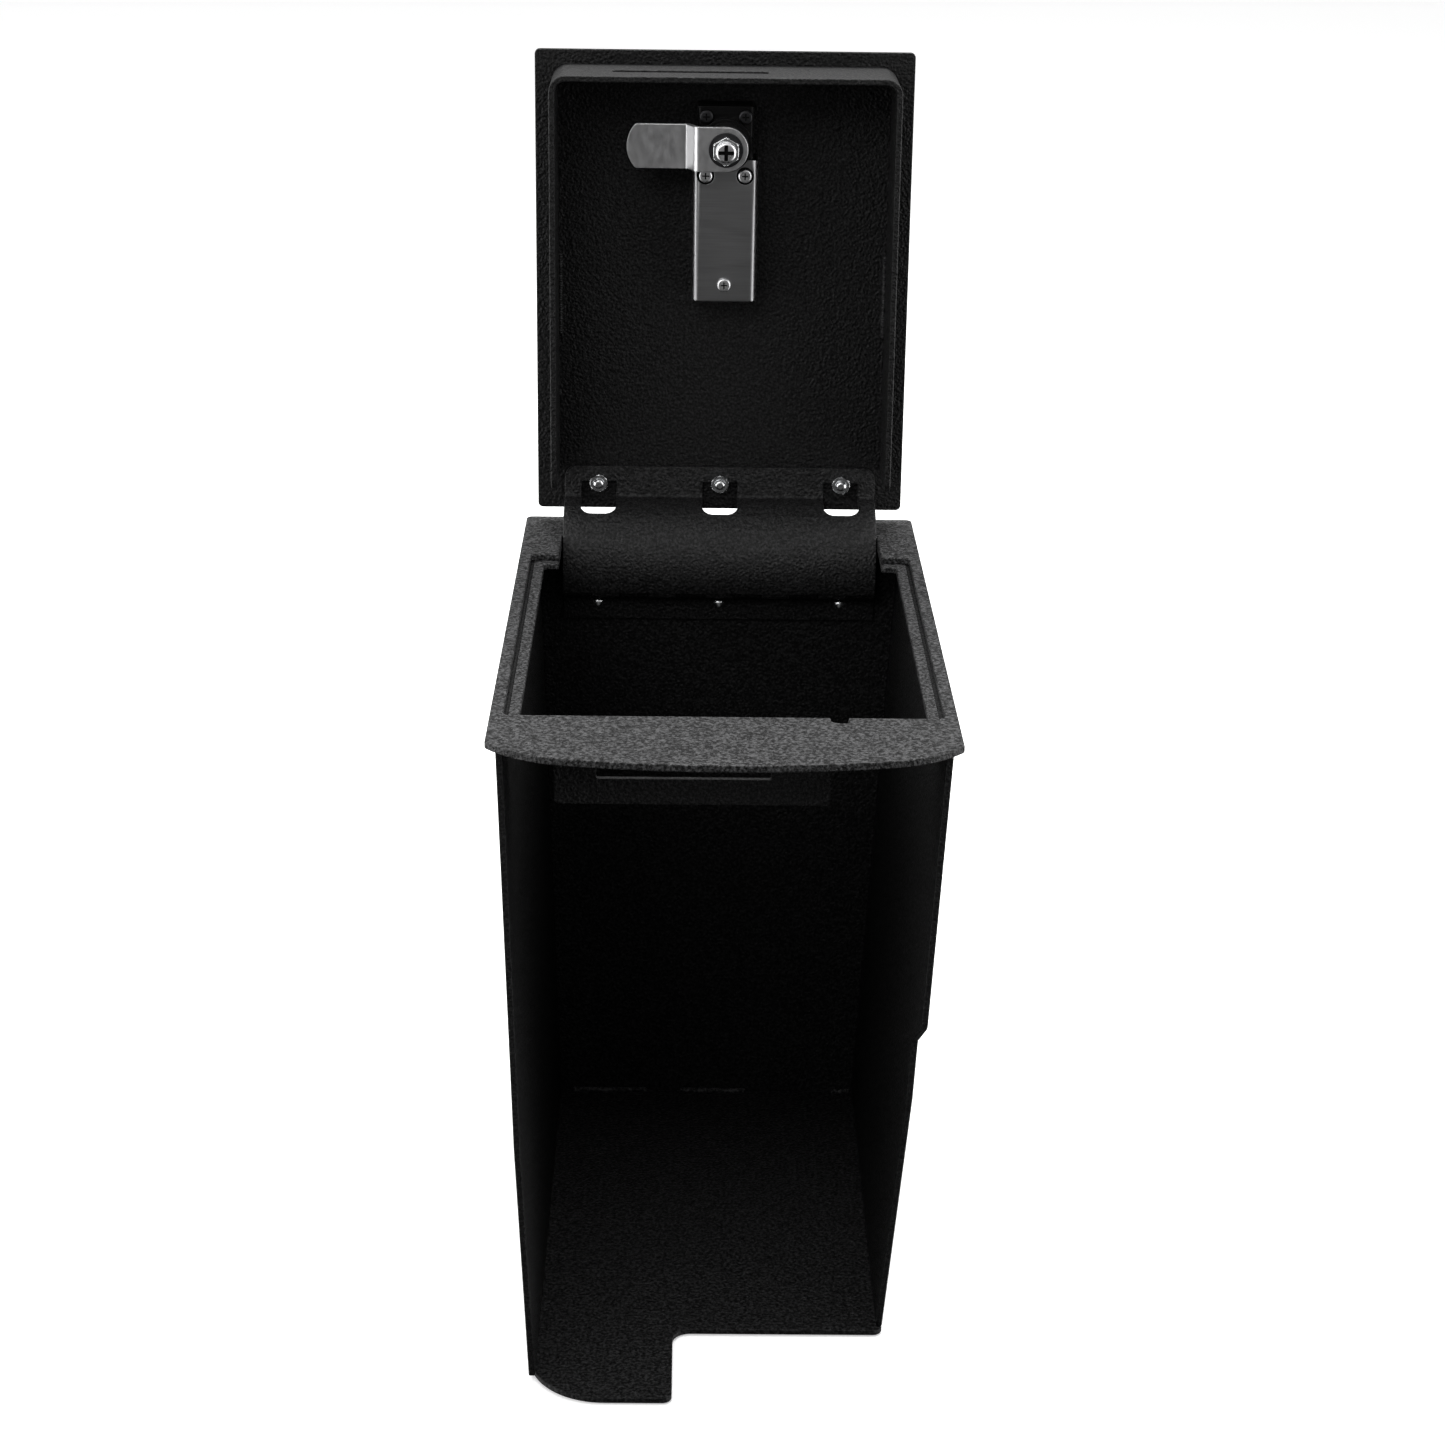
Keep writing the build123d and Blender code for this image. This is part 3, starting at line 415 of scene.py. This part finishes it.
# ------------------------------------------------------------ lid
# The 12-gauge lid and, welded inside it, the three-sided flange that drops into the mouth of
# the box when the lid is shut.
# The lid's coat is the box's powder made darker: painted shade on the open lid's inner face.
lid_coat_painted_shade = powder_coat("powder_coat_lid_painted_shade", grain=820, dark=0.002, light=0.016, shine=0.16)
finished("lid_plate", "lid", lid_coat_painted_shade)
finished("lid_flange", "lid", lid_coat_painted_shade)


# ------------------------------------------------------------ lid welds
# A stitch bead down each side inside the lid, where the flange meets the plate.
for i, (low, high) in enumerate(islands("lid_welds")):
    inside_x = low[0] + into_joint if low[0] < 0 else high[0] - into_joint
    corner = (inside_x, high[1] - off_plate, 0)
    name = "lid_weld_%d" % (i + 1)
    bead = weld_bead(name, "lid", corner, (low[2], high[2]), high[1] - low[1], True)
    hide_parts("lid_welds")


# ------------------------------------------------------------ studs and nuts
# Three zinc-plated weld studs stand out of the lid plate through the leaf of the neck, each
# with a plain hexagon nut.
finished("lid_studs", "lid", zinc, edge=0.0007, segments=3)
nut_zinc = metal("nut_plating", (0.70, 0.71, 0.72), 0.20)
finished("lid_nuts", "lid", nut_zinc, edge=0.0003, segments=2)


# ------------------------------------------------------------ lock housing
# The lock's body inside the lid: a moulded black plastic block with the spindle's stepped boss.
def plastic(name, tone, rough, scale=2500, depth=0.00003, shine=0.5):
    """Moulded plastic with the faint texture of its tool."""
    resin = bpy.data.materials.new(name)
    resin.use_nodes = True
    nodes, links = resin.node_tree.nodes, resin.node_tree.links
    shader = nodes["Principled BSDF"]
    shader.inputs["Base Color"].default_value = (tone, tone, tone * 1.02, 1)
    shader.inputs["Roughness"].default_value = rough
    shader.inputs["Specular IOR Level"].default_value = shine
    place = nodes.new("ShaderNodeTexCoord")
    skin = nodes.new("ShaderNodeTexNoise")
    skin.inputs["Scale"].default_value = scale
    bump = nodes.new("ShaderNodeBump")
    bump.inputs["Distance"].default_value = depth
    links.new(place.outputs["Object"], skin.inputs["Vector"])
    links.new(skin.outputs["Fac"], bump.inputs["Height"])
    links.new(bump.outputs["Normal"], shader.inputs["Normal"])
    return resin


black_plastic = plastic("black_moulding", 0.003, 0.42, shine=0.14)
finished("lock_housing", "lid", black_plastic, edge=0.0003, segments=2)


# ------------------------------------------------------------ lock cover
# A brushed stainless cover folded over the housing, its grain running across.
brushed = metal("brushed_cover", (0.35, 0.35, 0.355), 0.32, 0.04, (0.02, 1, 1), 2400, 0.00001)
finished("lock_cover", "lid", brushed, edge=0.0002, segments=2)


# ------------------------------------------------------------ housing screws
# Cross-recessed pan heads: two blackened ones in the housing's front end, two bright ones
# through to the escutcheon, and one that holds the rear end of the cover.
def cross_screws(node, body, coat, head_h, shank_r, recess):
    """Pan heads on plain shanks, one for each drawn screw, each with a cross recess given by
    the width and length of its arms and its depth."""
    arm, across, deep = recess
    for i, (low, high) in enumerate(islands(node)):
        x, z, head_r = (low[0] + high[0]) / 2, (low[2] + high[2]) / 2, (high[0] - low[0]) / 2
        upright = (radians(90), 0, 0)
        bpy.ops.object.select_all(action="DESELECT")
        bpy.ops.mesh.primitive_cylinder_add(vertices=64, radius=head_r, depth=head_h,
                                            location=(x, low[1] + head_h / 2, z), rotation=upright)
        head = bpy.context.active_object
        head.data.materials.append(coat)
        bpy.ops.object.transform_apply(location=True, rotation=True, scale=True)
        crown = head.modifiers.new("crown", "BEVEL")
        crown.width = min(head_r * 0.42, head_h * 0.48)
        crown.segments = 6
        crown.limit_method = "ANGLE"
        crown.angle_limit = radians(50)
        bpy.ops.object.modifier_apply(modifier="crown")
        for long_x, long_z in ((across, arm), (arm, across)):
            bpy.ops.mesh.primitive_cube_add(size=1, location=(x, low[1], z))
            cutter = bpy.context.active_object
            # The cutter's near-black material passes to the recess faces: painted shade in the
            # cross.
            cutter.data.materials.append(recess_painted_shade)
            cutter.scale = (long_x, deep * 2, long_z)
            bpy.ops.object.transform_apply(location=True, rotation=True, scale=True)
            head.select_set(True)
            bpy.context.view_layer.objects.active = head
            cut = head.modifiers.new("recess", "BOOLEAN")
            cut.operation = "DIFFERENCE"
            cut.solver = "EXACT"
            cut.material_mode = "TRANSFER"
            cut.object = cutter
            bpy.ops.object.modifier_apply(modifier="recess")
            bpy.data.objects.remove(cutter, do_unlink=True)
        bpy.ops.object.select_all(action="DESELECT")
        y0, y1 = low[1] + head_h * 0.6, high[1]
        bpy.ops.mesh.primitive_cylinder_add(vertices=40, radius=shank_r, depth=y1 - y0,
                                            location=(x, (y0 + y1) / 2, z), rotation=upright)
        bpy.context.active_object.data.materials.append(coat)
        head.select_set(True)
        bpy.context.view_layer.objects.active = head
        bpy.ops.object.join()
        bpy.ops.object.shade_smooth_by_angle(angle=radians(30))
        head.name = "%s_%d" % (node, i + 1)
        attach(head, body)
        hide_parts(node)


# A near-black material for the faces inside the cross recesses: painted shade.
recess_painted_shade = plastic("recess_shadow", 0.004, 0.7, shine=0.1)
blackened = metal("black_oxide_finish", (0.045, 0.045, 0.047), 0.42)
screw_zinc = metal("screw_plating", (0.86, 0.86, 0.87), 0.30)
small_head = 0.0018
small_shank = 0.0017
worn_cross = (0.0007, 0.0032, 0.0006)
clean_cross = (0.0006, 0.0030, 0.0005)
cross_screws("lock_black_screws", "lid", blackened, small_head, small_shank,
             worn_cross)
for node in ("lock_clamp_screws", "lock_cover_screw"):
    cross_screws(node, "lid", screw_zinc, small_head, small_shank, clean_cross)


# ------------------------------------------------------------ spindle and cam
# The steel spindle turns the pressed cam: satin zinc over rolled steel, joggled towards the
# lid so that its tongue meets the slot in the strike.
finished("lock_spindle", "cam", zinc, edge=0.0001, segments=1)
satin = metal("satin_zinc_cam", (0.58, 0.58, 0.585), 0.36, 0.04, (1, 1, 0.6), 420, 0.00001)
finished("cam_arm", "cam", satin, edge=0.0003, segments=3)


# ------------------------------------------------------------ cam fixings
# A blackened washer, a bright hexagon collar and a cross-recessed screw clamp the cam.
finished("cam_washer", "cam", blackened, edge=0.0002, segments=2)
finished("cam_nut", "cam", nut_zinc, edge=0.0003, segments=2)
cam_screw_head = 0.0030
cam_screw_shank = 0.0019
cam_cross = (0.0017, 0.0070, 0.0016)
cross_screws("cam_screw", "cam", screw_zinc, cam_screw_head, cam_screw_shank,
             cam_cross)


# ------------------------------------------------------------ escutcheon and axle
# The moulded block on the outside of the lid, and the steel axle of its dial wheels.
finished("lock_escutcheon", "lid", black_plastic, edge=0.0003, segments=2)
finished("dial_axle", "lid", zinc, edge=0.0001, segments=1)


# ------------------------------------------------------------ dial wheels
# Four gloss black wheels, grooved between their ten numerals, which are filled with white.
dial_gloss = plastic("dial_moulding", 0.012, 0.2, depth=0.00001)
numeral_fill = plastic("numeral_fill", 0.7, 0.5, depth=0.00001)
numeral_height = 0.0040
numeral_relief = 0.00012
numeral_sink = 0.0001
for i in range(1, 5):
    node = "dial_wheel_%d" % i
    body = "wheel_%d" % i
    finished(node, body, dial_gloss, edge=0.0001, segments=1)
    low, high = islands(node)[0]
    middle = Vector(((low[0] + high[0]) / 2, (low[1] + high[1]) / 2, (low[2] + high[2]) / 2))
    wheel_r = (high[0] - low[0]) / 2
    numerals = []
    for digit in range(10):
        bpy.ops.object.select_all(action="DESELECT")
        bpy.ops.object.text_add()
        mark = bpy.context.active_object
        mark.data.body = str((digit + i) % 10)
        mark.data.size = numeral_height
        mark.data.extrude = numeral_relief
        mark.data.align_x = "CENTER"
        mark.data.align_y = "CENTER"
        mark.data.resolution_u = 3
        stand = Matrix.Rotation(radians(180), 4, "Z") @ Matrix.Rotation(radians(90), 4, "X")
        around = Matrix.Rotation(radians(36 * digit), 4, "Z")
        out = Matrix.Translation((0, wheel_r - numeral_sink, 0))
        mark.matrix_world = Matrix.Translation(middle) @ around @ out @ stand
        bpy.ops.object.convert(target="MESH")
        numerals.append(bpy.context.active_object)
    for mark in numerals:
        mark.select_set(True)
    bpy.context.view_layer.objects.active = numerals[0]
    bpy.ops.object.join()
    ring = bpy.context.active_object
    bpy.ops.object.transform_apply(location=True, rotation=True, scale=True)
    ring.name = "dial_numerals_%d" % i
    ring.data.materials.clear()
    ring.data.materials.append(numeral_fill)
    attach(ring, body)


# ------------------------------------------------------------ knob and key plug
# The moulded turning knob on the spindle, and the nickel-plated key plug in its face.
finished("lock_knob", "cam", black_plastic, edge=0.0002, segments=2)
nickel = metal("nickel_plug", (0.70, 0.67, 0.58), 0.22)
finished("key_plug", "key", nickel, edge=0.0001, segments=1)


bpy.context.view_layer.update()
